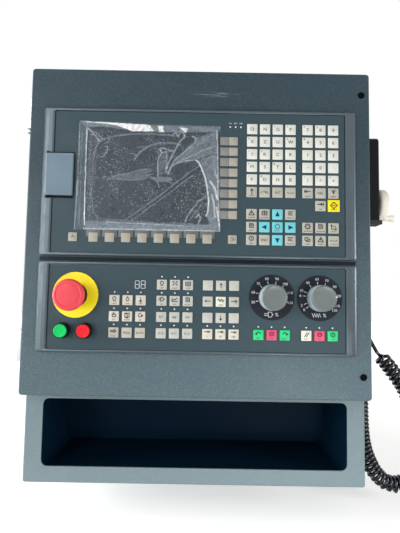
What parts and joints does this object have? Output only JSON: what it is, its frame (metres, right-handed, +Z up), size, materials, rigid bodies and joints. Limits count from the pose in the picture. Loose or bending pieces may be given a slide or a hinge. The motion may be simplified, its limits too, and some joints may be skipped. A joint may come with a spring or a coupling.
{
  "type": "operator console of a cnc turning lathe",
  "caption": "Slate grey machine control cabinet: hinged door with screen unit, key panel, dials and stop button, pocket below, hand wheel on a curly cord.",
  "frame": {"origin": "centre of the cabinet's rear face, where it lies against the machine", "axes": "+X to the operator's right, +Y from the operator to the rear, out of the rear face, +Z up"},
  "size_m": [0.5995, 0.212, 0.595],
  "materials": {
    "slate_paint": "textured powder coat, slate grey",
    "profile_grey": "grey coated aluminium profile",
    "overlay_film": "printed polyester film, slate",
    "zinc_housing": "zinc plated sheet",
    "circuit_board": "green solder resist",
    "display_glass": "dark, anti-glare",
    "clear_film": "thin clear wrinkled film",
    "bright_steel": "turned or pressed steel",
    "cast_zinc": "die-cast zinc, satin",
    "black_plastic": "moulded black",
    "black_rubber": "black elastomer",
    "cord_sheath": "glossy black polyurethane",
    "flap_rubber": "blue-grey moulded cover",
    "signal_yellow": "printed yellow",
    "signal_red": "moulded red",
    "signal_green": "translucent green lens",
    "signal_red_lens": "translucent red lens",
    "knob_grey": "moulded grey",
    "wheel_cream": "cream coated aluminium"
  },
  "bodies": {
    "cabinet": {"cabinet_shell": "slate_paint", "storage_pocket": "slate_paint", "cable_grommet": "black_rubber", "upper_hinge_fixed_leaf": "cast_zinc", "lower_hinge_fixed_leaf": "cast_zinc", "upper_hinge_pin": "bright_steel", "lower_hinge_pin": "bright_steel", "hand_unit_holder": "cast_zinc", "hand_unit_case": "black_plastic", "hand_unit_cover": "black_plastic", "handwheel_encoder": "bright_steel", "hand_unit_strain_relief": "black_rubber", "cabinet_gland": "black_plastic", "cabinet_gland_nut": "black_plastic", "curly_cord": "cord_sheath", "cord_lead": "cord_sheath"},
    "door": {"door_panel": "slate_paint", "upper_door_plug": "black_plastic", "lower_door_plug": "black_plastic", "door_seal": "black_rubber", "upper_hinge_door_leaf": "cast_zinc", "lower_hinge_door_leaf": "cast_zinc", "upper_bezel": "profile_grey", "upper_overlay": "overlay_film", "upper_key_board": "circuit_board", "screen_glass": "display_glass", "display_module": "bright_steel", "screen_film": "clear_film", "control_board": "circuit_board", "upper_rear_housing": "zinc_housing", "port_block": "black_plastic", "lower_bezel": "profile_grey", "lower_overlay": "overlay_film", "lower_key_board": "circuit_board", "lower_rear_housing": "zinc_housing", "digit_display": "black_plastic", "estop_legend_plate": "signal_yellow", "estop_collar": "black_plastic", "estop_contact_block": "black_plastic", "green_button_collar": "black_plastic", "green_button_contact": "black_plastic", "red_button_collar": "black_plastic", "red_button_contact": "black_plastic", "spindle_dial_scale": "black_plastic", "spindle_switch": "black_plastic", "feed_dial_scale": "black_plastic", "feed_switch": "black_plastic"},
    "port_flap": {"port_flap": "flap_rubber"},
    "estop_plunger": {"estop_stem": "bright_steel"},
    "estop_head": {"estop_head": "signal_red"},
    "green_button": {"green_button_cap": "signal_green"},
    "red_button": {"red_button_cap": "signal_red_lens"},
    "spindle_dial": {"spindle_knob": "knob_grey", "spindle_shaft": "bright_steel"},
    "feed_dial": {"feed_knob": "knob_grey", "feed_shaft": "bright_steel"},
    "handwheel": {"handwheel": "wheel_cream", "handwheel_shaft": "bright_steel", "handwheel_crank_pin": "bright_steel"},
    "crank_grip": {"handwheel_crank_grip": "wheel_cream"}
  },
  "joints": [
    {"name": "door_swing", "type": "hinge", "parent": "cabinet", "child": "door", "pos_m": [-0.2375, -0.1515, 0.0605], "axis": [0, 0, -1], "range_deg": [0, 120]},
    {"name": "port_flap_swing", "type": "hinge", "parent": "door", "child": "port_flap", "pos_m": [-0.2022, -0.1831, 0.13125], "axis": [0, 0, -1], "range_deg": [0, 100]},
    {"name": "estop_press", "type": "slide", "parent": "door", "child": "estop_plunger", "axis": [0, 1, 0], "range_m": [0, 0.005]},
    {"name": "estop_twist", "type": "hinge", "parent": "estop_plunger", "child": "estop_head", "pos_m": [-0.1592, -0.19, -0.0281], "axis": [0, 1, 0], "range_deg": [0, 45], "stiffness_Nm_per_rad": 0.05},
    {"name": "green_press", "type": "slide", "parent": "door", "child": "green_button", "axis": [0, 1, 0], "range_m": [0, 0.003], "stiffness_N_per_m": 1500},
    {"name": "red_press", "type": "slide", "parent": "door", "child": "red_button", "axis": [0, 1, 0], "range_m": [0, 0.003], "stiffness_N_per_m": 1500},
    {"name": "spindle_turn", "type": "hinge", "parent": "door", "child": "spindle_dial", "pos_m": [0.098, -0.19, -0.0272], "axis": [0, 1, 0], "range_deg": [-150, 60]},
    {"name": "feed_turn", "type": "hinge", "parent": "door", "child": "feed_dial", "pos_m": [0.1605, -0.19, -0.0272], "axis": [0, 1, 0], "range_deg": [-210, 45]},
    {"name": "handwheel_turn", "type": "hinge", "parent": "cabinet", "child": "handwheel", "pos_m": [0.27, -0.09, 0.1172], "axis": [1, 0, 0], "continuous": true},
    {"name": "crank_grip_spin", "type": "hinge", "parent": "handwheel", "child": "crank_grip", "pos_m": [0.292, -0.09, 0.0977], "axis": [1, 0, 0], "continuous": true}
  ]
}
